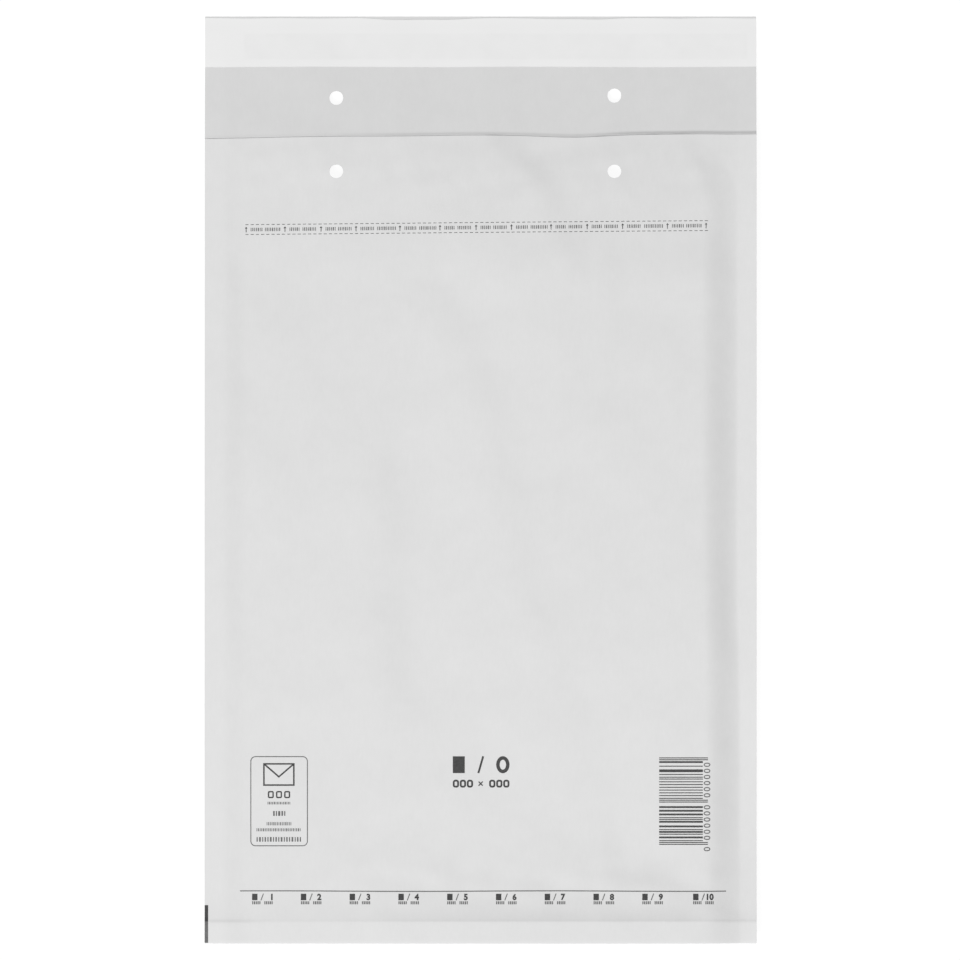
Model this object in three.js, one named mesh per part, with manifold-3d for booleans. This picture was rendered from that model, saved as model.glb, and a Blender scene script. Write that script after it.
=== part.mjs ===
// A padded mailing envelope with a peel-and-seal flap, lying flat on its back with the flap open.
// Millimetres, +Z up, +Y towards the flap, +X to the right of someone reading the front.
// The origin is on the resting plane, under the middle of the whole outline.
//
// Four pieces: one sheet of paper, folded at the bottom, that makes the front, the back and the flap;
// one bubble film, folded the same way and welded along its sides into a bag; the adhesive strip on
// the flap; and the release liner over that strip.

import * as THREE from "three";
import { mergeVertices } from "three/addons/utils/BufferGeometryUtils.js";
import Module from "manifold-3d";

const wasm = await Module();
wasm.setup();

// Outline of the folded paper
const bodyWidth = 240;
const bodyLength = 352; // bottom fold to flap fold
const flapLength = 51;
const mouthSetback = 0.7; // the front panel's edge stops this far short of the flap fold

// Sheets
const paperThickness = 0.15;
const filmThickness = 0.12;
const foldInnerRadius = 0.12; // the paper's pressed bottom fold
const clearance = 0.2; // between the paper and the film or the bubble tops

// Flat seams, and the slope from each seam up to the padding
const leftSeam = 10.5;
const rightSeam = 8.5;
const bottomSeam = 9.8;
const shoulderRun = 13.5;

// Padding and the pocket between its two walls
const pocketHeight = 4.4;
const bubbleHeight = 2.4;
const bubblePitch = 15;
const bubbleTopShare = 0.6; // a bubble's flat top, as a share of the hexagon that it rises from
const filmMouthSetback = 4; // the film stops this far short of the flap fold
const filmFoldInset = 1.5; // the film's own fold reaches this far into the bottom seam
const padInset = 1; // bubbles keep this far inside the shoulders and the lip

// The front panel's edge bends down to a lip
const lipRun = 7;
const lipDrop = 1.5;

// Punched holes for paper fasteners, in pairs either side of the flap fold
const holeDiameter = 6;
const holeSpacing = 121;
const holeToFold = 16.2;
const holeShift = -2.3; // the pair sits this far off the middle

// Closure on the flap
const linerWidth = 20.6;
const linerInset = 1; // below the flap's free edge
const linerThickness = 0.1;
const linerMargin = 3.4; // flat paper left below the liner
const adhesiveWidth = 11.3;
const adhesiveInset = 6.1; // below the liner's upper edge
const adhesiveLeftInset = 17;
const adhesiveRightInset = 4;
const adhesiveThickness = 0.1;

// Facets along each curved stretch
const shoulderSteps = 6;
const bandSteps = 3;
const lipSteps = 4;
const settleSteps = 5;
const foldTurns = 6;
const holeSides = 24;

// Worked out from the sizes above
const halfWidth = bodyWidth / 2;
const overallLength = bodyLength + flapLength;
const pocketHalf = pocketHeight / 2;
const seamGap = filmThickness + clearance; // seam plane to the paper's inner face
const padHalf = pocketHalf + bubbleHeight; // what the padding adds to that, on each side
const seamPlane = padHalf + seamGap + paperThickness;
const foldOuterRadius = foldInnerRadius + paperThickness;
const filmFold = bottomSeam - filmFoldInset;
const filmMouth = bodyLength - filmMouthSetback;
const frontEdge = bodyLength - mouthSetback;
const flapSettleRun = flapLength - linerInset - linerWidth - linerMargin;
const mergeDistance = 1e-4; // points nearer than this are one corner

const smooth = (share) => THREE.MathUtils.smoothstep(share, 0, 1);

// 0 on a seam, rising to 1 over the shoulder
const shoulder = (distance) => smooth(distance / shoulderRun);
const acrossShare = (x) =>
  shoulder(x + halfWidth - leftSeam) * shoulder(halfWidth - rightSeam - x);
const padShare = (x, y) => acrossShare(x) * shoulder(y - bottomSeam);

const steps = (from, to, count) =>
  Array.from({ length: count + 1 }, (_, i) => from + ((to - from) * i) / count);

// Grid lines: one cell on each flat stretch and a few across each slope
const columns = [
  -halfWidth,
  ...steps(-halfWidth + leftSeam, -halfWidth + leftSeam + shoulderRun, shoulderSteps),
  ...steps(halfWidth - rightSeam - shoulderRun, halfWidth - rightSeam, shoulderSteps),
  halfWidth,
];
const bottomShoulder = steps(bottomSeam, bottomSeam + shoulderRun, shoulderSteps);

function surface(points, triangles) {
  const geometry = new THREE.BufferGeometry();
  geometry.setAttribute("position", new THREE.Float32BufferAttribute(points.flat(), 3));
  geometry.setIndex(triangles.flat());
  return geometry;
}

// A closed three.js geometry as a manifold solid; triangles that merging flattens are dropped
function solidOf(geometry) {
  const bare = geometry.clone();
  bare.deleteAttribute("normal");
  bare.deleteAttribute("uv");
  const merged = mergeVertices(bare, mergeDistance);
  const index = merged.index.array;
  const kept = [];
  for (let i = 0; i < index.length; i += 3) {
    const [a, b, c] = index.slice(i, i + 3);
    if (a !== b && b !== c && c !== a) kept.push(a, b, c);
  }
  return new wasm.Manifold(
    new wasm.Mesh({
      numProp: 3,
      vertProperties: new Float32Array(merged.attributes.position.array),
      triVerts: new Uint32Array(kept),
    }),
  );
}

function geometryOf(manifold) {
  const { vertProperties, triVerts } = manifold.getMesh();
  const geometry = new THREE.BufferGeometry();
  geometry.setAttribute("position", new THREE.BufferAttribute(vertProperties, 3));
  geometry.setIndex(new THREE.BufferAttribute(triVerts, 1));
  const faceted = geometry.toNonIndexed();
  faceted.computeVertexNormals();
  return faceted;
}

// The solid between two faces that share one grid, where faces[side][row][column] is a point. With
// the rows running away and the columns running to the right, the first face is the upper one.
function solidBetween(faces) {
  const rows = faces[0].length;
  const across = faces[0][0].length;
  const at = (side, row, column) => (side * rows + row) * across + column;
  const triangles = [];
  const quad = (a, b, c, d) => triangles.push([a, b, c], [a, c, d]);
  for (let row = 0; row + 1 < rows; row++) {
    for (let column = 0; column + 1 < across; column++) {
      quad(at(0, row, column), at(0, row, column + 1), at(0, row + 1, column + 1), at(0, row + 1, column));
      quad(at(1, row, column), at(1, row + 1, column), at(1, row + 1, column + 1), at(1, row, column + 1));
    }
    quad(at(0, row, 0), at(0, row + 1, 0), at(1, row + 1, 0), at(1, row, 0));
    const last = across - 1;
    quad(at(0, row, last), at(1, row, last), at(1, row + 1, last), at(0, row + 1, last));
  }
  for (let column = 0; column + 1 < across; column++) {
    quad(at(0, 0, column), at(1, 0, column), at(1, 0, column + 1), at(0, 0, column + 1));
    const end = rows - 1;
    quad(at(0, end, column), at(0, end, column + 1), at(1, end, column + 1), at(1, end, column));
  }
  return solidOf(surface(faces.flat(2), triangles));
}

// A solid between the heights above and below over a grid of x and y lines
function slab(xLines, yLines, above, below) {
  const face = (height) => yLines.map((y) => xLines.map((x) => [x, y, height(x, y)]));
  return solidBetween([face(above), face(below)]);
}

// A round punch through everything between two heights
function punch(x, y, low, high) {
  const cutter = new THREE.CylinderGeometry(
    holeDiameter / 2,
    holeDiameter / 2,
    high - low,
    holeSides,
  );
  cutter.rotateX(Math.PI / 2);
  cutter.translate(x, y, (low + high) / 2);
  return solidOf(cutter);
}

const holeColumns = [holeShift - holeSpacing / 2, holeShift + holeSpacing / 2];
const punchMargin = 1;
const punches = (y) =>
  holeColumns.map((x) => punch(x, y, -punchMargin, 2 * seamPlane + punchMargin));
const without = (body, cutters) => cutters.reduce((left, cutter) => left.subtract(cutter), body);

// The paper: a run of stations from the front panel's edge, down the front, round the bottom fold,
// up the back and out along the flap. Each station is a row of points on the paper's two faces.
function paperSheet() {
  const innerReach = (x, y) => seamGap + padHalf * padShare(x, y);
  const foldShare = (y) => smooth((y - foldOuterRadius) / (filmFold - foldOuterRadius));
  const reach = (x, y) =>
    THREE.MathUtils.lerp(foldInnerRadius, innerReach(x, y), foldShare(y));
  const lip = (x, y) => lipDrop * acrossShare(x) * smooth((y - frontEdge + lipRun) / lipRun);
  const flapHeight = (x, y) =>
    padHalf * (1 - acrossShare(x)) * (1 - smooth((y - bodyLength) / flapSettleRun));

  const outer = [];
  const inner = [];
  const station = (y, outerHeight, innerHeight) => {
    outer.push(columns.map((x) => [x, y, outerHeight(x)]));
    inner.push(columns.map((x) => [x, y, innerHeight(x)]));
  };
  const seamLines = [...steps(foldOuterRadius, filmFold, bandSteps), ...bottomShoulder];
  const frontLines = [...seamLines, ...steps(frontEdge - lipRun, frontEdge, lipSteps)];
  const backLines = [...seamLines, bodyLength];
  const flapLines = [
    ...steps(bodyLength, bodyLength + flapSettleRun, settleSteps).slice(1),
    overallLength,
  ];

  for (const y of frontLines.toReversed()) {
    const face = (x) => seamPlane + reach(x, y) - lip(x, y);
    station(y, (x) => face(x) + paperThickness, face);
  }
  for (let turn = 1; turn < foldTurns; turn++) {
    const angle = (Math.PI * turn) / foldTurns;
    const onArc = (radius) =>
      columns.map((x) => [
        x,
        foldOuterRadius - radius * Math.sin(angle),
        seamPlane + radius * Math.cos(angle),
      ]);
    outer.push(onArc(foldOuterRadius));
    inner.push(onArc(foldInnerRadius));
  }
  for (const y of backLines) {
    const face = (x) => seamPlane - reach(x, y);
    station(y, (x) => face(x) - paperThickness, face);
  }
  for (const y of flapLines) {
    const face = (x) => flapHeight(x, y);
    station(y, face, (x) => face(x) + paperThickness);
  }
  const sheet = solidBetween([inner, outer]);
  return without(sheet, [
    ...punches(bodyLength - holeToFold),
    ...punches(bodyLength + holeToFold),
  ]);
}

// A honeycomb of bubbles about the origin, each rising from a hexagon to a smaller flat top, with an
// underside that sinks into the film. Hexagon corners lie on a lattice of half pitches across and
// half radii up, so neighbours share them.
function bubblePad(width, length, sink) {
  const halfPitch = bubblePitch / 2;
  const halfRadius = halfPitch / Math.sqrt(3);
  const hexagon = [[1, 1], [0, 2], [-1, 1], [-1, -1], [0, -2], [1, -1]];
  const across = Math.floor(width / bubblePitch - 1 / 2);
  const rows = Math.floor((length / halfRadius - 1) / 3);
  const uStart = 1 / 2 - across;
  const vStart = (-3 / 2) * (rows - 1);

  const points = [];
  const triangles = [];
  const known = new Map();
  const place = (u, v, z) => [(uStart + u) * halfPitch, (vStart + v) * halfRadius, z];
  const latticePoint = (u, v, z) => {
    const key = `${u},${v},${z}`;
    if (!known.has(key)) known.set(key, points.push(place(u, v, z)) - 1);
    return known.get(key);
  };
  const ring = (u, v, z) => hexagon.map(([du, dv]) => latticePoint(u + du, v + dv, z));
  const topRing = (u, v) =>
    hexagon.map(([du, dv]) => {
      const corner = place(u + du * bubbleTopShare, v + dv * bubbleTopShare, bubbleHeight);
      return points.push(corner) - 1;
    });
  const cap = ([a, b, c, d, e, f]) => triangles.push([a, b, c], [a, c, d], [a, d, e], [a, e, f]);
  const wall = (a, b, c, d) => triangles.push([a, b, c], [a, c, d]);

  const rims = new Map();
  for (let row = 0; row < rows; row++) {
    for (let column = 0; column < across; column++) {
      const u = 2 * column + (row % 2);
      const v = 3 * row;
      const top = topRing(u, v);
      const base = ring(u, v, 0);
      const under = ring(u, v, -sink);
      cap(top);
      cap(under.toReversed());
      for (let side = 0; side < 6; side++) {
        const next = (side + 1) % 6;
        wall(base[side], base[next], top[next], top[side]);
        const shared = `${base[next]},${base[side]}`;
        const rim = [under[side], under[next], base[next], base[side]];
        if (!rims.delete(shared)) rims.set(`${base[side]},${base[next]}`, rim);
      }
    }
  }
  for (const rim of rims.values()) wall(...rim);
  return surface(points, triangles);
}

// The film: a bag with a wall of bubbles facing each paper panel, open at the mouth
function bubbleBag() {
  const bagLines = [filmFold, ...bottomShoulder, filmMouth];
  const pocketLines = [...bottomShoulder, overallLength];
  const pocketColumns = columns.slice(1, -1);
  const pocketReach = (x, y) => pocketHalf * padShare(x, y);
  const filmReach = (x, y) => filmThickness + pocketReach(x, y);
  const bag = slab(
    columns,
    bagLines,
    (x, y) => seamPlane + filmReach(x, y),
    (x, y) => seamPlane - filmReach(x, y),
  );
  const left = -halfWidth + leftSeam + shoulderRun + padInset;
  const right = halfWidth - rightSeam - shoulderRun - padInset;
  const low = bottomSeam + shoulderRun + padInset;
  const high = frontEdge - lipRun - padInset;
  const wallFace = pocketHalf + filmThickness;
  const frontPad = bubblePad(right - left, high - low, filmThickness / 2);
  const backPad = frontPad.clone().rotateY(Math.PI);
  frontPad.translate((left + right) / 2, (low + high) / 2, seamPlane + wallFace);
  backPad.translate((left + right) / 2, (low + high) / 2, seamPlane - wallFace);
  const pocket = slab(
    pocketColumns,
    pocketLines,
    (x, y) => seamPlane + pocketReach(x, y),
    (x, y) => seamPlane - pocketReach(x, y),
  );
  const padded = bag.add(solidOf(frontPad)).add(solidOf(backPad)).subtract(pocket);
  return without(padded, punches(bodyLength - holeToFold));
}

// A flat strip across the flap, measured from the paper's sides and free edge
function strip(leftInset, rightInset, topInset, width, thickness, level) {
  const left = leftInset - halfWidth;
  const right = halfWidth - rightInset;
  const top = overallLength - topInset;
  const outline = new THREE.Shape();
  outline.moveTo(left, top - width);
  outline.lineTo(right, top - width);
  outline.lineTo(right, top);
  outline.lineTo(left, top);
  outline.closePath();
  const geometry = new THREE.ExtrudeGeometry(outline, { depth: thickness, bevelEnabled: false });
  geometry.translate(0, 0, level);
  return geometry;
}

const adhesiveStrip = () =>
  strip(
    adhesiveLeftInset,
    adhesiveRightInset,
    linerInset + adhesiveInset,
    adhesiveWidth,
    adhesiveThickness,
    paperThickness,
  );
const releaseLiner = () =>
  strip(0, 0, linerInset, linerWidth, linerThickness, paperThickness + adhesiveThickness);

const whiteKraft = new THREE.MeshStandardMaterial({ color: 0xdedede, roughness: 0.85, metalness: 0 });
const milkyFilm = new THREE.MeshStandardMaterial({ color: 0xe8ecee, roughness: 0.25, metalness: 0 });
const hotMelt = new THREE.MeshStandardMaterial({ color: 0xd9d3bd, roughness: 0.3, metalness: 0 });
const siliconePaper = new THREE.MeshStandardMaterial({ color: 0xebebeb, roughness: 0.45, metalness: 0 });

function piece(name, geometry, material) {
  const mesh = new THREE.Mesh(geometry, material);
  mesh.name = name;
  return mesh;
}

const envelope = new THREE.Group();
envelope.position.y = -overallLength / 2;
envelope.add(
  piece("outer_paper", geometryOf(paperSheet()), whiteKraft),
  piece("bubble_liner", geometryOf(bubbleBag()), milkyFilm),
  piece("adhesive_strip", adhesiveStrip(), hotMelt),
  piece("release_liner", releaseLiner(), siliconePaper),
);

export default envelope;
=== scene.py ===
from math import pi, radians, sqrt

import bpy
import numpy as np
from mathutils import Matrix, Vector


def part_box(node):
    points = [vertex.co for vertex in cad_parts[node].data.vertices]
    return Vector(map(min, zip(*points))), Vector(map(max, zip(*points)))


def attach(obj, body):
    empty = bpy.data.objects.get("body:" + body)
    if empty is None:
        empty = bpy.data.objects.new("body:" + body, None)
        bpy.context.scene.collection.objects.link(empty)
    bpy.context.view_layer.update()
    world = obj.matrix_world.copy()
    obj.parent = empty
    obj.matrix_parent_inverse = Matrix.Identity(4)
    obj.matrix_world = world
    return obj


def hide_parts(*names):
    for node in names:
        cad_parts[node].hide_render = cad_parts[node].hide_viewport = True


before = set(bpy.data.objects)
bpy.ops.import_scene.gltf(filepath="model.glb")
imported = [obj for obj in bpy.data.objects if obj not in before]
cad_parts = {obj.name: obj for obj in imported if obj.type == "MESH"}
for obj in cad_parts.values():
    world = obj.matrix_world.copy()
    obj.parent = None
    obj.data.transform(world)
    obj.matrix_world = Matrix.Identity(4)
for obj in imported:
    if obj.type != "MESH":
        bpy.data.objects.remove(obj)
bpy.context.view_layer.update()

# A padded mailing envelope lying on its back with the flap open. Lengths below are millimetres in
# the frame's axes: +X to the right of the front, +Y towards the flap, +Z up from the table.

MM = 0.001


def node_box(name):
    """A CAD node's lowest and highest corners, in millimetres."""
    return [np.array(corner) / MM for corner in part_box(name)]


paper_low, paper_high = node_box("outer_paper")
liner_low, liner_high = node_box("release_liner")
strip_low, strip_high = node_box("adhesive_strip")
film_low, film_high = node_box("bubble_liner")

# Where the envelope begins, folds and ends
HALF_WIDTH = paper_high[0]
BOTTOM = paper_low[1]
FREE_EDGE = paper_high[1]
FLAP_LENGTH = 51.0
FLAP_FOLD = FREE_EDGE - FLAP_LENGTH
MOUTH = FLAP_FOLD - 0.7
FILM_MOUTH = film_high[1]
FILM_FOLD = film_low[1]
EDGE_SLACK = 0.35  # the flap's free edge lies this far beyond the CAD's
LIFT_START = 78.0  # past here the back leaves the table and climbs to the flap fold
LIFT_END = FLAP_FOLD + 26  # where that climb would level out

# Thicknesses
PAPER = 0.15
FILM = 0.12
SEAM_STACK = 0.72  # front face to back face where both papers and the film are welded
LIP_STACK = 0.36  # the same past the mouth's edge, where there is no film
PRESS_START, PRESS_END = 135.0, MOUTH + 6  # the stack goes from one to the other between these

# Where the flat seams begin
LEFT_CREASE = -111.3
RIGHT_CREASE = 111.3
BOTTOM_CREASE = -191.8

# Levels of the front panel, from the table up
SEAM_AT_MOUTH = 5.6
LEFT_SEAM = 8.7
RIGHT_SEAM = 5.6
LOW_CORNER_RISE = 1.2  # the right seam comes up this much in the bottom corner,
LOW_CORNER_DIP = 1.7  # and goes down this much above it
PLATEAU = 9.75
LIP = 5.25
LOW_END = 7.0
GROOVE = 0.68  # how far the paper dips just inside the left seam
FOLD_LEVEL = SEAM_AT_MOUTH - SEAM_STACK

# Right shoulder, from the padding down to the seam
SHOULDER_START = 96.0
SHOULDER_CUT = 0.88  # how far along its smooth rise the shoulder meets the seam

# Punched holes
HOLE_RADIUS = 3.0
HOLE_COLUMNS = (-62.8, 58.2)
HOLE_TO_FOLD = 16.2
HOLE_ROWS = (FLAP_FOLD - HOLE_TO_FOLD, FLAP_FOLD + HOLE_TO_FOLD)


# Smooth functions


def ramp(t):
    """Smooth rise from 0 to 1 as t goes from 0 to 1: three t squared less two t cubed."""
    t = np.clip(t, 0, 1)
    return t * t * (3 - 2 * t)


def rise(value, start, stop):
    """The ramp of a value's way from start to stop, where stop may be the lower one."""
    return ramp((value - start) / (stop - start))


def mix(a, b, share):
    """A value the share's way from a to b."""
    return a + (b - a) * share


def waves(x, y, length, count, seed):
    """Even cockle of about unit height: a sum of sines in random directions, with wavelengths
    near one length."""
    draw = np.random.default_rng(seed)
    angles = draw.uniform(0, 2 * pi, count)
    phases = draw.uniform(0, 2 * pi, count)
    lengths = length * draw.uniform(0.7, 1.5, count)
    total = 0
    for angle, phase, wave in zip(angles, phases, lengths):
        total = total + np.sin(2 * pi * (x * np.cos(angle) + y * np.sin(angle)) / wave + phase)
    return total / sqrt(count)


def soft_step(x, y, start, end, drop, narrow, wide):
    """A crease: from its left to its right, seen along the line from end to start, the paper drops
    within the narrow width and makes that up over the wide one, in hyperbolic tangent steps that
    fade past the line's ends."""
    along = np.subtract(end, start)
    length = np.hypot(*along)
    ux, uy = along / length
    dx, dy = x - start[0], y - start[1]
    across = dx * uy - dy * ux
    run = (dx * ux + dy * uy) / length
    fade = rise(run, -0.25, 0.15) * rise(run, 1.25, 0.85)
    step = np.tanh(across / narrow) - np.tanh(across / wide)
    return drop / 2 * step * fade


# The paper's surfaces

# Soft creases of the front panel: start, end, drop to the right, narrow width and wide width
CREASES = (
    ((-39, 8), (-37, -98), 2.5, 9, 50),
    ((-34, 60), (-39, 8), 0.7, 9, 40),
    ((-20, 84), (2, 45), 0.9, 7, 30),
    ((2, 45), (12, 0), 1.15, 8, 36),
    ((12, 0), (22, -50), 1.15, 8, 36),
    ((22, -50), (52, -122), 0.75, 6, 30),
    ((6, 152), (29, 129), 1.1, 4.5, 26),
    ((29, 129), (43, 93), 0.95, 4.5, 22),
    ((-24, 150), (-24, 120), 0.4, 4, 18),
    ((58, 108), (58, 62), 0.45, 4, 24),
    ((55, -146), (56, -170), 0.6, 4.5, 18),
    ((24, -150), (80, -178), 0.9, 7, 30),
    ((-66, 132), (-52, 96), 0.4, 7, 30),
    ((84, 66), (88, 20), 0.2, 5, 22),
    ((-74, 66), (-70, 10), 0.35, 6, 26),
    ((-6, -104), (4, -150), 0.25, 6, 24),
)


def stack(y):
    """Front face to back face in the seams: pressed thinner towards the mouth."""
    return SEAM_STACK - (SEAM_STACK - LIP_STACK) * rise(y, PRESS_START, PRESS_END)


def left_level(y):
    """The left seam's height: level along the bag, coming down towards both of its ends."""
    return (
        SEAM_AT_MOUTH
        + (LEFT_SEAM - SEAM_AT_MOUTH) * rise(y, MOUTH, MOUTH - 170)
        - 0.4 * rise(y, -100, -190)
    )


def right_level(y):
    """The right seam's height: low along the bag, lower above the bottom corner, and rising in
    the corner."""
    dip = LOW_CORNER_DIP * rise(y, -75, -140)
    return RIGHT_SEAM - dip + LOW_CORNER_RISE * rise(y, -150, -195)


def middle_level(x, y):
    """The padding's height: highest half way along, lower at the mouth and at the bottom, and
    lower still along the right side near the mouth and in the bottom right corner."""
    return (
        PLATEAU
        - (PLATEAU - LIP) * rise(y, 84, MOUTH + 20)
        - (PLATEAU - LOW_END) * rise(y, -60, -185)
        - 0.25 * rise(x, 10, 100) * rise(y, -125, -185)
        - 0.7 * rise(x, 10, 95) * rise(y, 10, 75) * rise(y, 140, 100)
    )


def right_crease(y):
    """Where the right seam begins: a little further out towards the bottom."""
    return RIGHT_CREASE + 1.3 * rise(y, -50, -110)


def right_shoulder(x, y):
    """0 on the padding and 1 on the right seam, with a sharp crease where it meets the seam: a
    smooth rise cut off before its end. Near the mouth it bends inwards, and towards the bottom
    it is narrower."""
    inwards = 13 * rise(y, 118, 152) ** 2
    start = SHOULDER_START + 1.8 * rise(y, 20, -110)
    run = SHOULDER_CUT * (x + inwards - start) / (right_crease(y) - start)
    return ramp(np.minimum(run, SHOULDER_CUT)) / ramp(SHOULDER_CUT)


def seam_curl(x, y):
    """How the side seams curl past their creases: the right one up, as a power of the way out,
    and the left one down, in a straight line."""
    crease = right_crease(y)
    up = 0.9 * np.clip((x - crease) / (HALF_WIDTH - crease), 0, 1) ** 1.3
    down = 0.85 * np.clip((LEFT_CREASE - x) / (HALF_WIDTH + LEFT_CREASE), 0, 1)
    return up - down


def bottom_crest(x, y):
    """How the paper stands up over the bottom crease: a short and a long exponential fade above
    it, both larger to the right, and a slight fall in the band below."""
    above = np.maximum(y - BOTTOM_CREASE, 0)
    below = np.maximum(BOTTOM_CREASE - y, 0)
    short = (0.4 + 0.75 * rise(x, -80, 10)) * np.exp(-above / 6)
    long = (0.7 + 1.3 * rise(x, -90, 10)) * np.exp(-above / 20)
    return short + long - 0.03 * below


def bottom_step(x, y):
    """How far the panel lies under the band below the bottom crease: a hyperbolic tangent step,
    larger towards both sides."""
    size = 0.08 + 0.24 * rise(x, -88, -108) + 0.16 * rise(x, 98, 108)
    return size * (1 + np.tanh((y - BOTTOM_CREASE) / 0.6)) / 2


def unevenness(x, y):
    """What lies on the padding: the creases, long and short cockle, puckers over the bottom
    crease and under the mouth, and the faint print of the bubbles as a product of cosines."""
    above = np.maximum(y - BOTTOM_CREASE, 0)
    creases = sum(soft_step(x, y, *crease) for crease in CREASES)
    cockle = 0.12 * waves(x, y, 36, 9, 3) + 0.03 * waves(x, y, 13, 9, 8)
    puckers = 0.18 * waves(x, y, 17, 9, 14) * rise(above, 40, 16) * rise(x, -85, -25)
    puckers += 0.09 * waves(x, y, 15, 9, 19) * rise(y, 112, 132)
    bubble_print = np.cos(2 * pi * x / 11.5) * np.cos(2 * pi * y / 19.9)
    return creases + cockle + puckers + 0.012 * bubble_print


def front_outer(x, y):
    """Height of the front panel's printed face. Across, it runs from the left seam down a shallow
    groove, up to the padding and down the right shoulder. The crest, the step and the unevenness
    are added to that."""
    left, right = left_level(y), right_level(y)
    middle = middle_level(x, y)
    shoulder = right_shoulder(x, y)
    dip = GROOVE * (1 - 0.75 * rise(y, 80, 130) - 0.45 * rise(y, -30, -100))
    groove = dip * rise(x, LEFT_CREASE, LEFT_CREASE + 9.5)
    climb = (middle - left + dip) * rise(x, -101, 39)
    in_band = rise(y, BOTTOM_CREASE + 5, BOTTOM_CREASE - 1)
    fall = (middle - right) * mix(shoulder, rise(x, 86, 120), in_band)
    section = left - groove + climb - fall + seam_curl(x, y)
    bottom = bottom_crest(x, y) * (1 - 0.5 * shoulder) - bottom_step(x, y)
    pad = rise(x, -113, -97) * (1 - shoulder) * rise(y, BOTTOM_CREASE, BOTTOM_CREASE + 22)
    edge_cockle = 0.05 * waves(x, y, 21, 7, 11) * (1 - pad)
    pressed = SEAM_STACK - stack(y)
    return section + bottom + unevenness(x, y) * pad + edge_cockle - pressed


def mouth_tilt(x):
    """The tilt shared by the mouth's edge and the flap's fold, with a swell near the middle and
    another left of it."""
    swells = 0.42 * np.exp(-(((x + 6) / 24) ** 2)) + 0.5 * np.exp(-(((x + 66) / 36) ** 2))
    return 0.0098 * x - 0.3 * rise(x, 94, 112) + swells


def mouth_dip(x):
    """A bell-shaped dip of the mouth's edge right of the middle."""
    return 0.92 * np.exp(-(((x - 41) / 18) ** 2))


def mouth_shift(x):
    """How far the front panel's edge lies beyond MOUTH along Y."""
    return mouth_tilt(x) - mouth_dip(x) - 0.28


def fold_shift(x):
    """How far the flap's fold lies beyond FLAP_FOLD along Y: it follows the mouth's edge."""
    return mouth_tilt(x) - 0.93 * mouth_dip(x) - 0.7


def hole_skew(x):
    """How far the flap's punched holes lie beyond their row along Y."""
    return 0.17 + 0.0091 * x


def back_outer(x, y):
    """Height of the back panel's outer face: welded under the front in the seams, flat on the
    table in the middle but for shallow dimples, and rising to the flap fold."""
    pad = rise(x, LEFT_CREASE, LEFT_CREASE + 30) * rise(x, RIGHT_CREASE, RIGHT_CREASE - 20)
    pad = pad * rise(y, BOTTOM_CREASE, BOTTOM_CREASE + 30)
    lift = FOLD_LEVEL * rise(y, LIFT_START, LIFT_END) / rise(FLAP_FOLD, LIFT_START, LIFT_END)
    dimples = 0.12 * np.maximum(waves(x, y, 30, 7, 21), 0) * rise(y, -190, -150)
    welded = front_outer(x, y) - stack(y)
    return np.minimum(welded, mix(welded, lift + dimples, pad))


def flap_outer(x, y):
    """Height of the flap's outer face, from the fold to the table: a share of it goes in a short
    drop right behind the fold, larger to the right, and the rest in a long easy slope, with a
    slow ripple."""
    fold = FLAP_FOLD + fold_shift(x)
    past = np.maximum(y - fold, 0)
    t = np.clip(past / (FREE_EDGE + EDGE_SLACK - fold), 0, 1)
    share = 0.02 + 0.065 * rise(x, -75, -25) + 0.07 * rise(x, 46, 70)
    drop = share * rise(past, 1.4, -0.7) / rise(0, 1.4, -0.7) * (1 - t)
    level = back_outer(x, fold) * (drop + (1 - share) * (1 - t) ** 1.25)
    ripple = 0.1 * waves(x, y, 46, 7, 31) * rise(t, 0, 0.2) * rise(t, 1.05, 0.75)
    return level + np.maximum(ripple, -0.9 * level) + 0.02 * t


# Grids with punched holes


def lines(stops, cells):
    """Grid lines through the stops, evenly spaced between each pair."""
    parts = [np.linspace(a, b, n, endpoint=False) for a, b, n in zip(stops, stops[1:], cells)]
    return np.concatenate([*parts, stops[-1:]])


PUNCH_CORE = 2.4  # half of the grid square that becomes the hole's edge
PUNCH_REACH = 7.0  # half of the grid square that stays as it was
PUNCH_CELLS = [4, 6, 4]  # grid cells between the stops round a hole
GROOVE_END, SHOULDER_EDGE = -98.0, 94.0  # the fine cells over the groove and shoulder end here


def around(place):
    """Stops through one hole's block of grid lines."""
    return [place - PUNCH_REACH, place - PUNCH_CORE, place + PUNCH_CORE, place + PUNCH_REACH]


def sheet_columns(cell):
    """Grid lines across the sheet: fine in the groove, at the holes and on the right shoulder."""
    left, right = (around(hole) for hole in HOLE_COLUMNS)
    stops = [-HALF_WIDTH, LEFT_CREASE, GROOVE_END, *left, *right, SHOULDER_EDGE]
    stops += [RIGHT_CREASE, RIGHT_CREASE + 0.7, HALF_WIDTH]
    plain = ((GROOVE_END, left[0]), (left[-1], right[0]), (right[-1], SHOULDER_EDGE))
    wide = [round((b - a) / cell) for a, b in plain]
    cells = [4, 10, wide[0], *PUNCH_CELLS, wide[1], *PUNCH_CELLS, wide[2], 18, 1, 11]
    return lines(stops, cells)


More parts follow.
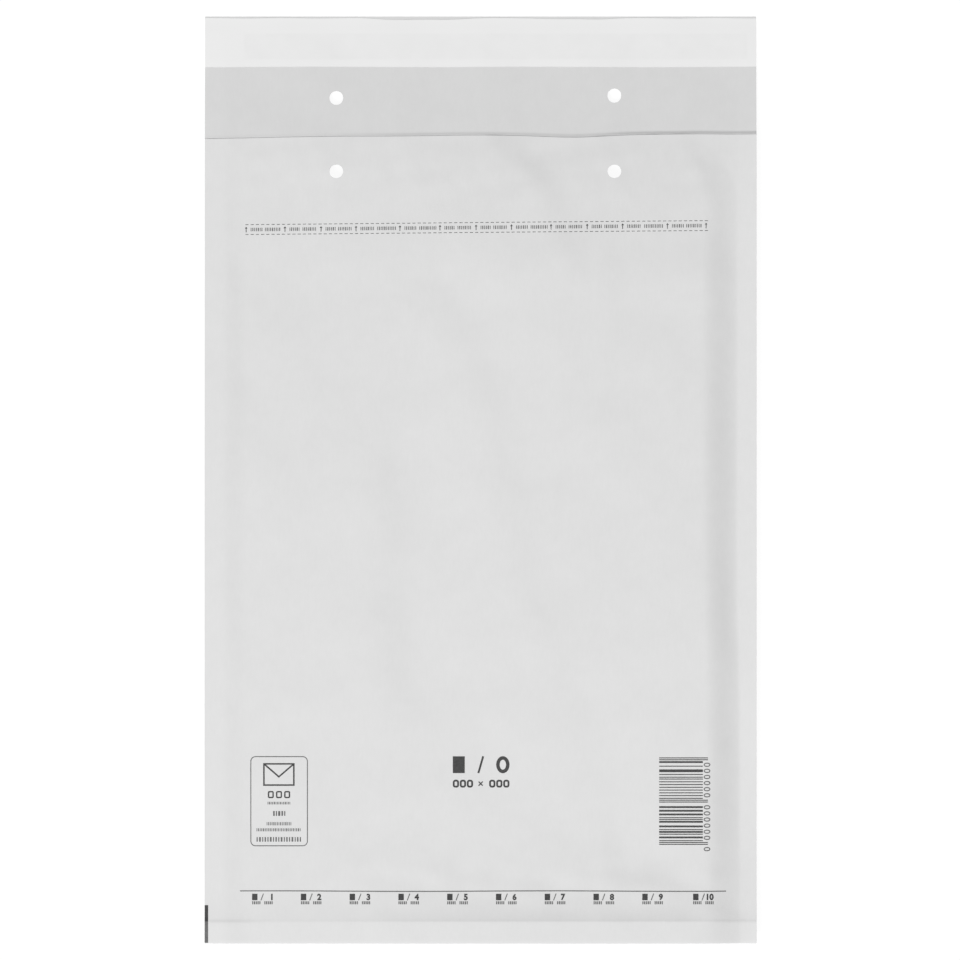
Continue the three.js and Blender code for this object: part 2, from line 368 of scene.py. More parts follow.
def punched(x, y, holes):
    """Moves grid points near each hole so that a square ring of them becomes the hole's circle,
    and marks the points inside. Between the square core and the square reach, the ring at each
    distance is a blend of circle and square."""
    inside = np.zeros(x.shape, bool)
    for hole_x, hole_y in holes:
        dx, dy = x - hole_x, y - hole_y
        square = np.maximum(np.abs(dx), np.abs(dy))
        round_distance = np.maximum(np.hypot(dx, dy), 1e-9)
        near = (square < PUNCH_REACH - 1e-6) & (square > PUNCH_CORE - 1e-6)
        t = (square - PUNCH_CORE) / (PUNCH_REACH - PUNCH_CORE)
        radius = HOLE_RADIUS + (PUNCH_REACH - HOLE_RADIUS) * t
        x = np.where(near, hole_x + mix(dx / round_distance * radius, dx, t), x)
        y = np.where(near, hole_y + mix(dy / round_distance * radius, dy, t), y)
        inside |= square < PUNCH_CORE - 1e-6
    return x, y, inside


def grid_faces(rows, columns, dropped=None):
    """Quads of a grid of points, without those that touch a dropped point."""
    index = np.arange(rows * columns).reshape(rows, columns)
    corners = [index[:-1, :-1], index[:-1, 1:], index[1:, 1:], index[1:, :-1]]
    quads = np.stack(corners, -1).reshape(-1, 4)
    if dropped is None:
        return quads
    return quads[~dropped.ravel()[quads].any(1)]


def piece(name, points, faces, materials, smooth=True):
    """A mesh object at the origin from points in millimetres and their faces."""
    used, faces_used = np.unique(np.asarray(faces), return_inverse=True)
    mesh = bpy.data.meshes.new(name)
    places = np.asarray(points, float).reshape(-1, 3)[used] * MM
    mesh.from_pydata(places.tolist(), [], faces_used.reshape(np.shape(faces)).tolist())
    for material in materials:
        mesh.materials.append(material)
    mesh.polygons.foreach_set("use_smooth", [smooth] * len(mesh.polygons))
    mesh.update()
    made = bpy.data.objects.new(name, mesh)
    bpy.context.scene.collection.objects.link(made)
    return made


def thicken(sheet, thickness, inner_slot=0):
    """Gives the sheet its thickness behind its outer face, with its inner face and its cut edges
    in the inner slot's material, and keeps the edges crisp."""
    solid = sheet.modifiers.new("thickness", "SOLIDIFY")
    solid.thickness = thickness * MM
    solid.offset = -1
    solid.material_offset = inner_slot
    solid.material_offset_rim = inner_slot
    graph = bpy.context.evaluated_depsgraph_get()
    finished = bpy.data.meshes.new_from_object(sheet.evaluated_get(graph))
    sheet.modifiers.clear()
    sheet.data = finished
    finished.set_sharp_from_angle(angle=radians(50))


# Materials


def principled(name, color, roughness, **sockets):
    """A new material with these values on its shader's own sockets."""
    made = bpy.data.materials.new(name)
    made.use_nodes = True
    shader = made.node_tree.nodes["Principled BSDF"]
    shader.inputs["Base Color"].default_value = (*color, 1)
    shader.inputs["Roughness"].default_value = roughness
    for socket, value in sockets.items():
        shader.inputs[socket.replace("_", " ")].default_value = value
    return made, made.node_tree, shader


def noise(tree, scale, detail, stretch=(1, 1, 1)):
    """Noise over the piece's own place, finer with scale in cycles a metre."""
    place = tree.nodes.new("ShaderNodeTexCoord")
    mapping = tree.nodes.new("ShaderNodeMapping")
    mapping.inputs["Scale"].default_value = stretch
    texture = tree.nodes.new("ShaderNodeTexNoise")
    texture.inputs["Scale"].default_value = scale
    texture.inputs["Detail"].default_value = detail
    tree.links.new(place.outputs["Object"], mapping.inputs["Vector"])
    tree.links.new(mapping.outputs["Vector"], texture.inputs["Vector"])
    return texture.outputs["Fac"]


def spread(tree, value, low, high):
    """The value's middle stretch, 0.3 to 0.7, mapped from low to high."""
    node = tree.nodes.new("ShaderNodeMapRange")
    node.inputs["From Min"].default_value = 0.3
    node.inputs["From Max"].default_value = 0.7
    node.inputs["To Min"].default_value = low
    node.inputs["To Max"].default_value = high
    tree.links.new(value, node.inputs["Value"])
    return node.outputs["Result"]


def tinted(tree, share, dark, light):
    """A colour between dark and light by share."""
    node = tree.nodes.new("ShaderNodeMix")
    node.data_type = "RGBA"
    node.inputs[6].default_value = (*dark, 1)
    node.inputs[7].default_value = (*light, 1)
    tree.links.new(share, node.inputs[0])
    return node.outputs[2]


def combined(tree, operation, a, b):
    """The sum, product or larger one of two values, where b may be a plain number."""
    node = tree.nodes.new("ShaderNodeMath")
    node.operation = operation
    tree.links.new(a, node.inputs[0])
    if isinstance(b, (int, float)):
        node.inputs[1].default_value = b
    else:
        tree.links.new(b, node.inputs[1])
    return node.outputs[0]


def bump(tree, shader, height, distance, strength):
    """Relief of the given height pattern, its distance in millimetres."""
    node = tree.nodes.new("ShaderNodeBump")
    node.inputs["Distance"].default_value = distance * MM
    node.inputs["Strength"].default_value = strength
    tree.links.new(height, node.inputs["Height"])
    tree.links.new(node.outputs["Normal"], shader.inputs["Normal"])


def paper_material(name, tone):
    """Bleached kraft paper: cloudy formation, short fibres along the machine direction, and a fine
    tooth in the surface."""
    made, tree, shader = principled(name, (tone,) * 3, 0.72, Specular_IOR_Level=0.3)
    clouds = noise(tree, 160, 4)
    fibres = noise(tree, 900, 3, (1.0, 0.3, 1.0))
    soft, sharp = (combined(tree, "MULTIPLY", *part) for part in ((clouds, 0.55), (fibres, 0.45)))
    both = combined(tree, "ADD", soft, sharp)
    share = spread(tree, both, 0, 1)
    dark, light = (tone * 0.978,) * 3, (tone * 1.014,) * 3
    tree.links.new(tinted(tree, share, dark, light), shader.inputs["Base Color"])
    tree.links.new(spread(tree, clouds, 0.66, 0.8), shader.inputs["Roughness"])
    bump(tree, shader, both, 0.03, 0.5)
    return made


def film_material():
    """Clear, slightly milky polythene film that shines and shows what is behind it."""
    made, tree, shader = principled(
        "milky film", (0.9, 0.91, 0.92), 0.16, Specular_IOR_Level=0.6, Alpha=0.8
    )
    cloud = noise(tree, 90, 3)
    tree.links.new(spread(tree, cloud, 0.12, 0.24), shader.inputs["Roughness"])
    bump(tree, shader, noise(tree, 260, 3), 0.05, 0.5)
    return made


def adhesive_material():
    """Hot-melt adhesive laid as a smooth, faintly combed bead."""
    made, tree, shader = principled(
        "hot melt", (0.66, 0.62, 0.5), 0.22, Specular_IOR_Level=0.55, Alpha=0.85
    )
    combed = noise(tree, 500, 2, (0.08, 1.0, 1.0))
    tree.links.new(spread(tree, combed, 0.18, 0.34), shader.inputs["Roughness"])
    bump(tree, shader, combed, 0.05, 0.6)
    return made


def liner_material():
    """Smooth silicone-coated paper, a shade greyer where the adhesive is pressed against it."""
    tone, pressed_tone = 0.884, 0.884 * 0.968
    made, tree, shader = principled("release paper", (tone,) * 3, 0.42, Specular_IOR_Level=0.45)
    place = tree.nodes.new("ShaderNodeTexCoord")
    split = tree.nodes.new("ShaderNodeSeparateXYZ")
    tree.links.new(place.outputs["Object"], split.inputs[0])
    inside = None
    bounds = (("X", strip_low[0], strip_high[0]), ("Y", strip_low[1], strip_high[1]))
    for axis, low, high in bounds:
        for edge, sense in ((low, 1), (high, -1)):
            soft = tree.nodes.new("ShaderNodeMapRange")
            soft.inputs["From Min"].default_value = (edge - 0.5 * sense) * MM
            soft.inputs["From Max"].default_value = (edge + 0.5 * sense) * MM
            tree.links.new(split.outputs[axis], soft.inputs["Value"])
            side = soft.outputs[0]
            inside = side if inside is None else combined(tree, "MULTIPLY", inside, side)
    cloud = spread(tree, noise(tree, 130, 3), 0.35, 1.0)
    mottled = combined(tree, "MULTIPLY", inside, cloud)
    colour = tinted(tree, mottled, (tone,) * 3, (pressed_tone,) * 3)
    tree.links.new(colour, shader.inputs["Base Color"])
    bump(tree, shader, noise(tree, 700, 2, (0.3, 1.0, 1.0)), 0.02, 0.4)
    return made


def ink_material(name, tone):
    """Matt printing ink, a little thin over the paper's tooth."""
    made, tree, shader = principled(name, (tone,) * 3, 0.6, Specular_IOR_Level=0.35)
    share = spread(tree, noise(tree, 1400, 3), 0, 1)
    colour = tinted(tree, share, (tone * 0.85,) * 3, (tone * 1.3,) * 3)
    tree.links.new(colour, shader.inputs["Base Color"])
    return made


white_paper = paper_material("white kraft", 0.745)
# The inside tone is darker than the outside for two reasons: the paper's greyer reverse side, and
# painted shade that darkens the open flap.
inner_paper_and_shade = paper_material("white kraft inside with painted shade", 0.713)
milky_film = film_material()
hot_melt = adhesive_material()
release_paper = liner_material()
dark_ink = ink_material("dark grey ink", 0.05)
pale_ink = ink_material("grey ink", 0.13)


# The folded paper

CREASE_REACH = 1.2  # the finest rows lie this close to the bottom crease
LOWER_END = -165.0  # rows below here are finer than in the middle


def above_hole(y, end):
    """0 up to just past the body's holes, then rising smoothly to 1 at the end."""
    return rise(y, HOLE_ROWS[0] + 4, end)


def body_shift(edge_shift, end):
    """A shift along Y that carries an edge's wander down to the body's holes and no further."""
    return lambda x, y: edge_shift(x) * above_hole(y, end)


def flap_shift(x, y):
    """A shift along Y that blends from the fold's wander to the skew of the flap's holes, and
    from that to the even free edge."""
    to_hole = np.clip((y - FLAP_FOLD) / HOLE_TO_FOLD, 0, 1)
    to_edge = rise(y, HOLE_ROWS[1] + 5, HOLE_ROWS[1] + 14)
    return mix(mix(fold_shift(x), hole_skew(x), to_hole), EDGE_SLACK, to_edge)


def band(columns, rows, height, hole_row, shift):
    """The points of one panel with its holes, and a mark for those inside a hole."""
    holes = [(x, hole_row) for x in HOLE_COLUMNS]
    x, y, inside = punched(*np.meshgrid(columns, rows), holes)
    y = y + shift(x, y)
    return np.stack([x, y, height(x, y)], -1), inside


def paper_sheet():
    """One sheet: rows of points run from the mouth's edge down the front, round the bottom fold
    in a half circle, up the back and out along the flap, all on the paper's outer face."""
    columns = sheet_columns(2.4)
    body_hole, flap_hole = around(HOLE_ROWS[0]), around(HOLE_ROWS[1])
    fold_radius = SEAM_STACK / 2
    low = BOTTOM + fold_radius
    above_crease, below_crease = BOTTOM_CREASE + CREASE_REACH, BOTTOM_CREASE - CREASE_REACH
    front_stops = [MOUTH, *body_hole[::-1], LOWER_END, above_crease, below_crease, low]
    front_rows = lines(front_stops, [5, *PUNCH_CELLS, 116, 20, 6, 6])
    back_stops = [low, below_crease, above_crease, -186, -162, *body_hole, FLAP_FOLD]
    back_rows = lines(back_stops, [4, 6, 4, 9, 64, *PUNCH_CELLS, 8])
    flap_stops = [FLAP_FOLD, FLAP_FOLD + 4.2, *flap_hole, FREE_EDGE]
    flap_rows = lines(flap_stops, [12, 2, *PUNCH_CELLS, 13])

    to_mouth, to_fold = body_shift(mouth_shift, MOUTH), body_shift(fold_shift, FLAP_FOLD)
    front, front_gone = band(columns, front_rows, front_outer, HOLE_ROWS[0], to_mouth)
    back, back_gone = band(columns, back_rows, back_outer, HOLE_ROWS[0], to_fold)
    flap, flap_gone = band(columns, flap_rows[1:], flap_outer, HOLE_ROWS[1], flap_shift)
    x, turn = np.meshgrid(columns, np.linspace(0, pi, 7)[1:-1])
    y = low - fold_radius * np.sin(turn)
    z = front_outer(x, 0 * x + low) - fold_radius * (1 - np.cos(turn))
    fold = np.stack([x, y, z], -1)

    points = np.concatenate([front, fold, back, flap])
    dropped = [front_gone, np.zeros(x.shape, bool), back_gone, flap_gone]
    faces = grid_faces(*points.shape[:2], np.concatenate(dropped))
    sheet = piece("paper_sheet", points, faces[:, ::-1], [white_paper, inner_paper_and_shade])
    thicken(sheet, PAPER, 1)
    return sheet


# The bubble film


def room(x, y):
    """Height between the front and the back over what the seams have: 0 where they are pressed."""
    return np.maximum(front_outer(x, y) - back_outer(x, y) - stack(y), 0)


def film_offset(x, y):
    """How far the film lies behind the paper's outer face: almost touching in the seams, and a
    bubble's height away where the bag is open."""
    return PAPER + 0.13 * (stack(y) - 0.3) + 0.3 * room(x, y)


def film_front(x, y):
    """Height of the film's outer face under the front panel."""
    return front_outer(x, y) - film_offset(x, y)


def film_back(x, y):
    """Height of the film's outer face over the back panel."""
    return back_outer(x, y) + film_offset(x, y)


def film_walls():
    """The flat film of the bag: a folded sheet inside the paper, with the same punched holes. Its
    fold is a row of points half way between its two walls."""
    columns = sheet_columns(4)
    hole = around(HOLE_ROWS[0])
    near_crease = [BOTTOM_CREASE + 3, BOTTOM_CREASE + CREASE_REACH]
    stops = [FILM_MOUTH, *hole[::-1], LOWER_END, *near_crease, FILM_FOLD]
    rows = lines(stops, [3, *PUNCH_CELLS, 57, 8, 3, 7])
    holes = [(x, HOLE_ROWS[0]) for x in HOLE_COLUMNS]
    x, y, inside = punched(*np.meshgrid(columns, rows), holes)
    front = np.stack([x, y, film_front(x, y)], -1)
    back = np.stack([x, y, film_back(x, y)], -1)[::-1]
    fold_x = columns[None]
    fold_y = fold_x * 0 + FILM_FOLD - 0.1
    fold_z = (film_front(fold_x, fold_y) + film_back(fold_x, fold_y)) / 2
    fold = np.stack([fold_x, fold_y, fold_z], -1)
    points = np.concatenate([front, fold, back])
    gone = np.concatenate([inside, np.zeros(fold_x.shape, bool), inside[::-1]])
    return points, grid_faces(*points.shape[:2], gone)[:, ::-1]


BUBBLE_PITCH = 11.6
BUBBLE_RADIUS = 5.0
BUBBLE_SIDES = 12
BUBBLE_TURN = np.arange(BUBBLE_SIDES) * 2 * pi / BUBBLE_SIDES
BUBBLE_ROOM = 0.9  # a bubble with less room than this anywhere round its rim is left out


def bubble_centres():
    """Centres of a honeycomb of bubbles that keeps off the seams and the punched holes: rows at
    the pitch times half the root of three, every other one shifted by half a pitch."""
    row_pitch = BUBBLE_PITCH * sqrt(3) / 2
    width, length = RIGHT_CREASE - LEFT_CREASE - 28, FILM_MOUTH - BOTTOM_CREASE - 16
    x_count, y_count = int(width / BUBBLE_PITCH), int(length / row_pitch)
    column, row = np.meshgrid(np.arange(x_count), np.arange(y_count))
    x = LEFT_CREASE + 16 + (column + (row % 2) / 2) * BUBBLE_PITCH
    y = FILM_MOUTH - 7 - row * row_pitch
    keep = np.ones(x.shape, bool)
    for hole_x in HOLE_COLUMNS:
        keep &= np.hypot(x - hole_x, y - HOLE_ROWS[0]) > HOLE_RADIUS + BUBBLE_RADIUS + 0.6
    rim_x = x[..., None] + BUBBLE_RADIUS * np.cos(BUBBLE_TURN)
    rim_y = y[..., None] + BUBBLE_RADIUS * np.sin(BUBBLE_TURN)
    keep &= room(rim_x, rim_y).min(-1) > BUBBLE_ROOM
    return x[keep], y[keep]


def bubbles(wall, away, outer):
    """Closed blisters on one wall: rings of a rounded pill with a flat crown, carried to each
    centre. A point's height is its share of the way from the film to just inside the paper."""
    radius = np.array([1.0, 1.0, 0.93, 0.78, 0.5]) * BUBBLE_RADIUS
    share = np.array([-0.02, 0.4, 0.8, 0.96, 1.0])
    centre_x, centre_y = bubble_centres()
    x = centre_x[:, None, None] + radius[:, None] * np.cos(BUBBLE_TURN)
    y = centre_y[:, None, None] + radius[:, None] * np.sin(BUBBLE_TURN)
    low = wall(x, y)
    high = outer(x, y) - away * (PAPER + 0.12)
    z = mix(low, high, share[:, None])
    points = np.stack([x, y, z], -1)
    rings = len(radius)
    ring = np.arange(rings - 1)[:, None] * BUBBLE_SIDES
    side = np.arange(BUBBLE_SIDES)
    after = (side + 1) % BUBBLE_SIDES
    upper = ring + BUBBLE_SIDES
    quads = np.stack([ring + side, ring + after, upper + after, upper + side], -1).reshape(-1, 4)
    # crown and foot, as fans of quads across the twelve-sided ring
    fan = np.array([[0, 1, 2, 3], [0, 3, 4, 5], [0, 5, 6, 7], [0, 7, 8, 9], [0, 9, 10, 11]])
    crown = fan + (rings - 1) * BUBBLE_SIDES
    faces = np.concatenate([quads, crown, fan[:, ::-1]])
    if away < 0:
        faces = faces[:, ::-1]
    count = rings * BUBBLE_SIDES
    start = np.arange(len(centre_x))[:, None, None] * count
    return points.reshape(-1, 3), (faces + start).reshape(-1, 4)


def bubble_film():
    """The whole padding: the flat film, given its thickness, with the blisters of both walls."""
    points, faces = film_walls()
    walls = piece("film_walls", points, faces, [milky_film])
    thicken(walls, FILM)
    parts = [walls]
    for name, wall, away, outer in (
        ("front_bubbles", film_front, 1, front_outer),
        ("back_bubbles", film_back, -1, back_outer),
    ):
        parts.append(piece(name, *bubbles(wall, away, outer), [milky_film]))
    with bpy.context.temp_override(
        active_object=walls, object=walls, selected_objects=parts, selected_editable_objects=parts
    ):
        bpy.ops.object.join()
    walls.name = "bubble_film"
    return walls


# The closure on the flap


def flap_inner(x, y):
    """Height of the flap's upper face, which carries the adhesive."""
    return flap_outer(x, y) + PAPER


def adhesive():
    """The strip of adhesive: a thin band whose long edges wander a little."""
    x = np.linspace(strip_low[0], strip_high[0], 110)
    share = np.linspace(0, 1, 7)
    x, share = np.meshgrid(x, share)
    low = strip_low[1] + 0.18 * np.sin(x / 7.3) + 0.12 * np.sin(x / 2.9 + 1)
    high = strip_high[1] + 0.16 * np.sin(x / 6.1 + 2) + 0.1 * np.sin(x / 3.3)
    y = mix(low, high, share)
    z = flap_inner(x, y) + 0.09
    made = piece("adhesive_bead", np.stack([x, y, z], -1), grid_faces(*x.shape), [hot_melt])
    thicken(made, 0.08)
    return made


def liner_lift(x, y):
    """How far the liner's outer face stands off the flap: level over the adhesive, settling onto
    the paper at its lower edge and standing off in slow waves at its upper one."""
    loose_low = rise(y, strip_low[1], liner_low[1])
    loose_high = rise(y, strip_high[1], liner_high[1])
    low_wave = -0.05 + 0.025 * np.sin(x / 8.5 + 1.3 * np.sin(x / 31))
    high_wave = -0.06 + 0.02 * np.sin(x / 13 + 2) + 0.01 * np.sin(x / 5.7)
    return 0.2 + low_wave * loose_low + high_wave * loose_high


def release_liner():
    """The peel-off strip: a paper band over the adhesive whose upper edge wanders."""
    columns = np.linspace(-HALF_WIDTH, HALF_WIDTH, 241)
    x, share = np.meshgrid(columns, np.linspace(0, 1, 19))
    dips = 0.7 * np.exp(-(((x + 27) / 20) ** 4)) + 0.5 * np.exp(-(((x - 42) / 16) ** 4))
    high = liner_high[1] + 0.66 - dips + 0.1 * np.sin(x / 5)
    low = liner_low[1] + 0.1 * np.sin(x / 15)
    y = mix(low, high, share)
    z = flap_inner(x, y) + liner_lift(x, y)
    made = piece("liner_strip", np.stack([x, y, z], -1), grid_faces(*x.shape), [release_paper])
    thicken(made, 0.1)
    return made


# Print on the front panel

INK_LIFT = 0.05  # the ink's face lies this far over the paper's


def draped(name, shapes, material):
    """Flat printed shapes laid on the paper: each is a grid of points, rows by columns, whose
    height is the paper's plus the ink's."""
    points, faces, start = [], [], 0
    for shape in shapes:
        x, y = shape[..., 0], shape[..., 1]
        points.append(np.stack([x, y, front_outer(x, y) + INK_LIFT], -1).reshape(-1, 3))
        faces.append(grid_faces(*x.shape) + start)
        start += x.size
    return piece(name, np.concatenate(points), np.concatenate(faces), [material])


def bar(x0, x1, y0, y1, step=2.0):
    """An upright rectangle of ink, as a grid of points."""
    columns = np.linspace(x0, x1, max(2, int(np.ceil((x1 - x0) / step)) + 1))
    rows = np.linspace(y0, y1, max(2, int(np.ceil((y1 - y0) / step)) + 1))
    return np.stack(np.meshgrid(columns, rows), -1)


def stroke(path, width, closed=False):
    """A line of ink of even width along a path of points: right and left of it by half the
    width, square to the mean of the directions that meet at each point. Far points get others
    between them."""
    corners = np.array([*path, path[0]] if closed else path, float)
    spans = np.maximum(np.ceil(np.hypot(*np.diff(corners, axis=0).T) / 1.5), 1)
    travel = lines(np.arange(len(corners)), spans.astype(int))
    travel = travel[:-1] if closed else travel
    order = np.arange(len(corners))
    path = np.stack([np.interp(travel, order, corners[:, k]) for k in (0, 1)], -1)
    if closed:
        ahead, behind = np.roll(path, -1, 0), np.roll(path, 1, 0)
    else:
        ahead, behind = np.vstack([path[1:], path[-1:]]), np.vstack([path[:1], path[:-1]])
    forward, back = ahead - path, path - behind
    forward /= np.maximum(np.hypot(*forward.T), 1e-9)[:, None]
    back /= np.maximum(np.hypot(*back.T), 1e-9)[:, None]
    along = forward + back
    along /= np.hypot(*along.T)[:, None]
    side = np.stack([-along[:, 1], along[:, 0]], -1)
    onward, past = (forward * along).sum(1), (back * along).sum(1)
    straight = np.where(np.hypot(*forward.T) > 0.5, onward, past)
    side = side / np.maximum(straight, 0.5)[:, None] * width / 2
    grid = np.stack([path - side, path + side])
    return np.concatenate([grid, grid[:, :1]], 1) if closed else grid


def arc(centre, radius, start, stop, count):
    """Points on a circular arc, with its angles in degrees."""
    turn = np.radians(np.linspace(start, stop, count))
    return [(centre[0] + radius * np.cos(a), centre[1] + radius * np.sin(a)) for a in turn]


def rounded_box(x0, x1, y0, y1, radius):
    """A closed path round a box with round corners, with points along its straight sides."""
    corners = (
        ((x1 - radius, y1 - radius), 90), ((x0 + radius, y1 - radius), 180),
        ((x0 + radius, y0 + radius), 270), ((x1 - radius, y0 + radius), 360),
    )
    path = []
    for centre, stop in corners:
        path += arc(centre, radius, stop - 90, stop, 7)
    return path


# Tear guide: two dashed rows with up arrows between runs of small strokes, rising to the right
GUIDE_LEFT, GUIDE_RIGHT = -102.3, 99.6
GUIDE_LOW, GUIDE_HIGH = 106.75, 111.05
GUIDE_TILT = 1.7 / (GUIDE_RIGHT - GUIDE_LEFT)
DASH, DASH_PITCH = 1.35, 2.27
ARROWS = (
    -102.0, -85.1, -69.4, -54.2, -35.1, -17.7, -2.0, 13.4, 30.6, 46.3, 61.7, 81.2, 98.0,
)
RUN = (0.3, 0.42, 0.3, 0.36, 0.5, 0.3, 0.34)  # widths of the small blocks in one run


def tilted(shape):
    """The shape raised along the guide's slope."""
    x, y = shape[..., 0], shape[..., 1]
    return np.stack([x, y + (x - GUIDE_LEFT) * GUIDE_TILT], -1)


def blocks(x0, x1, y0, y1, widths, space):
    """A run of small upright blocks, repeating the widths until the run is full."""
    made, x, turn = [], x0, 0
    while x + widths[turn % len(widths)] <= x1:
        width = widths[turn % len(widths)]
        made.append(bar(x, x + width, y0, y1))
        x += width + space
        turn += 1
    return made


def tear_guide():
    """The guide's dark and pale marks."""
    dark, pale = [], []
    for start in np.arange(GUIDE_LEFT, GUIDE_RIGHT - DASH, DASH_PITCH):
        for y in (GUIDE_LOW, GUIDE_HIGH):
            pale.append(tilted(bar(start, start + DASH, y - 0.13, y + 0.13)))
    middle = (GUIDE_LOW + GUIDE_HIGH) / 2
    for x in ARROWS:
        dark.append(tilted(bar(x - 0.16, x + 0.16, middle - 1.15, middle + 0.7)))
        head = [(x - 0.45, middle + 0.45), (x, middle + 1.0), (x + 0.45, middle + 0.45)]
        dark.append(tilted(stroke(head, 0.27)))
    for start, stop in zip(ARROWS, ARROWS[1:]):
        gap = mix(start, stop, 0.46)
        for low, high in ((start + 2.0, gap - 0.45), (gap + 0.45, stop - 1.5)):
            run = blocks(low, high, middle - 0.75, middle + 0.75, RUN, 0.42)
            pale += [tilted(block) for block in run]
    return dark, pale


# Framed sign: a rounded outline round a plain drawing of an envelope, three rings and block rows
SIGN_LEFT, SIGN_RIGHT, SIGN_LOW, SIGN_HIGH = -99.9, -75.3, -159.0, -120.25


def framed_sign():
    """The sign's dark and pale marks."""
    outline = rounded_box(SIGN_LEFT, SIGN_RIGHT, SIGN_LOW, SIGN_HIGH, 2.0)
    pale = [stroke(outline, 0.38, closed=True)]
    x0, x1, y0, y1 = -94.2, -81.2, -132.6, -123.4
    dark = [
        stroke([(x0, y0), (x1, y0), (x1, y1), (x0, y1)], 0.65, closed=True),
        stroke([(x0, y1), ((x0 + x1) / 2, y0 + 3.6), (x1, y1)], 0.65),
    ]
    middle = (SIGN_LEFT + SIGN_RIGHT) / 2
    for x in (middle - 4.6, middle - 1.05, middle + 2.5):
        dark.append(stroke(rounded_box(x, x + 2.0, -138.0, -135.5, 0.4), 0.6, closed=True))
    for left, right, low, high, widths, space in (
        (5.0, 5.2, -141.0, -139.9, RUN, 0.32),
        (2.6, 2.8, -146.0, -143.9, (0.7, 0.5, 0.9), 0.5),
        (5.4, 5.6, -150.1, -148.7, RUN, 0.38),
        (9.8, 9.9, -152.7, -151.4, RUN, 0.36),
        (9.8, 9.9, -157.2, -155.2, (0.5, 0.75, 0.45, 0.6), 0.6),
    ):
        pale += blocks(middle - left, middle + right, low, high, widths, space)
    return dark, pale


# Size mark: a block, a slash and a ring, over two sets of three rings with a cross between them
MARK_LEFT, MARK_RIGHT, MARK_LOW, MARK_HIGH = -12.1, 12.6, -127.4, -120.1


def size_mark():
    """The mark's shapes, all dark."""
    middle = (MARK_LOW + MARK_HIGH) / 2
    ring = np.array(arc((0, 0), 1, 0, 345, 24)) * (2.15, 2.95) + (MARK_RIGHT - 2.95, middle)
    dark = [
        bar(MARK_LEFT, MARK_LEFT + 5.2, MARK_LOW, MARK_HIGH),
        stroke([(-1.0, MARK_LOW), (1.1, MARK_HIGH)], 0.85),
        stroke(ring, 1.5, closed=True),
    ]
    for start in (MARK_LEFT + 0.4, MARK_RIGHT - 8.5):
        for x in (start, start + 3.05, start + 6.1):
            small_ring = rounded_box(x, x + 1.9, -133.3, -130.7, 0.7)
            dark.append(stroke(small_ring, 0.8, closed=True))
    for direction in (1, -1):
        dark.append(stroke([(-0.9, -132 - 0.9 * direction), (0.9, -132 + 0.9 * direction)], 0.5))
    return dark, []


# Bar pattern: bars lie across, with widths drawn at random, and noughts stand beside them
BARS_LEFT, BARS_RIGHT, BARS_LOW, BARS_HIGH = 77.6, 96.6, -158.6, -120.6
BAR_UNIT = (BARS_HIGH - BARS_LOW) / 95  # width of the thinnest bar
LONG_BARS = (0, 2, 46, 48, 92, 94)
BAR_GROUPS = ((4, 45), (50, 91))  # where the random bars begin and end, in units
NOUGHT_HEIGHT = 2.9
NOUGHT_PITCH = 2.66
NOUGHT_GROUPS = ((-161.4, 1), (-156.5, 6), (-138.0, 6))  # lower end and count of each run


def bar_pattern():
    """The bars, all dark: long ones at fixed places, and between them random widths and gaps."""
    dark = []
    draw = np.random.default_rng(23)
    for unit in LONG_BARS:
        y = BARS_LOW + unit * BAR_UNIT
        dark.append(bar(BARS_LEFT, BARS_RIGHT + 2.2, y, y + BAR_UNIT))
    for low, high in BAR_GROUPS:
        unit = low
        while unit < high:
            width = int(draw.choice((1, 1, 2, 2, 3)))
            if unit + width <= high:
                y = BARS_LOW + unit * BAR_UNIT
                dark.append(bar(BARS_LEFT, BARS_RIGHT, y, y + width * BAR_UNIT))
            unit += width + int(draw.choice((1, 2, 2, 3)))
    return dark, []


# Scale row: a long rule with ten numbered entries below it
RULE_LEFT, RULE_RIGHT, RULE_Y = -104.6, 106.7, -178.7
ENTRY_PLACES = [-94.9 + 21.2 * entry for entry in range(9)] + [96.8]
ENTRY_LOW, ENTRY_HIGH = -182.65, -179.85
NUMBER_HEIGHT = 2.8


def numeral(text, height, weight):
    """A plain number as a flat mesh of triangles that face up, with its lower left corner at the
    origin and its strokes made heavier by weight."""
    curve = bpy.data.curves.new("numeral", "FONT")
    curve.body = text
    curve.size = 1
    curve.offset = weight
    curve.resolution_u = 4
    holder = bpy.data.objects.new("numeral", curve)
    bpy.context.scene.collection.objects.link(holder)
    graph = bpy.context.evaluated_depsgraph_get()
    mesh = bpy.data.meshes.new_from_object(holder.evaluated_get(graph))
    mesh.calc_loop_triangles()
    places = np.empty(len(mesh.vertices) * 3)
    mesh.vertices.foreach_get("co", places)
    places = places.reshape(-1, 3)[:, :2]
    triangles = np.empty(len(mesh.loop_triangles) * 3, int)
    mesh.loop_triangles.foreach_get("vertices", triangles)
    bpy.data.objects.remove(holder)
    bpy.data.curves.remove(curve)
    bpy.data.meshes.remove(mesh)
    places = places - places.min(0)
    triangles = triangles.reshape(-1, 3)
    along, across = (places[triangles[:, k]] - places[triangles[:, 0]] for k in (1, 2))
    area = along[:, 0] * across[:, 1] - along[:, 1] * across[:, 0]
    triangles[area < 0] = triangles[area < 0, ::-1]
    return places * height / places[:, 1].max(), triangles[area != 0]


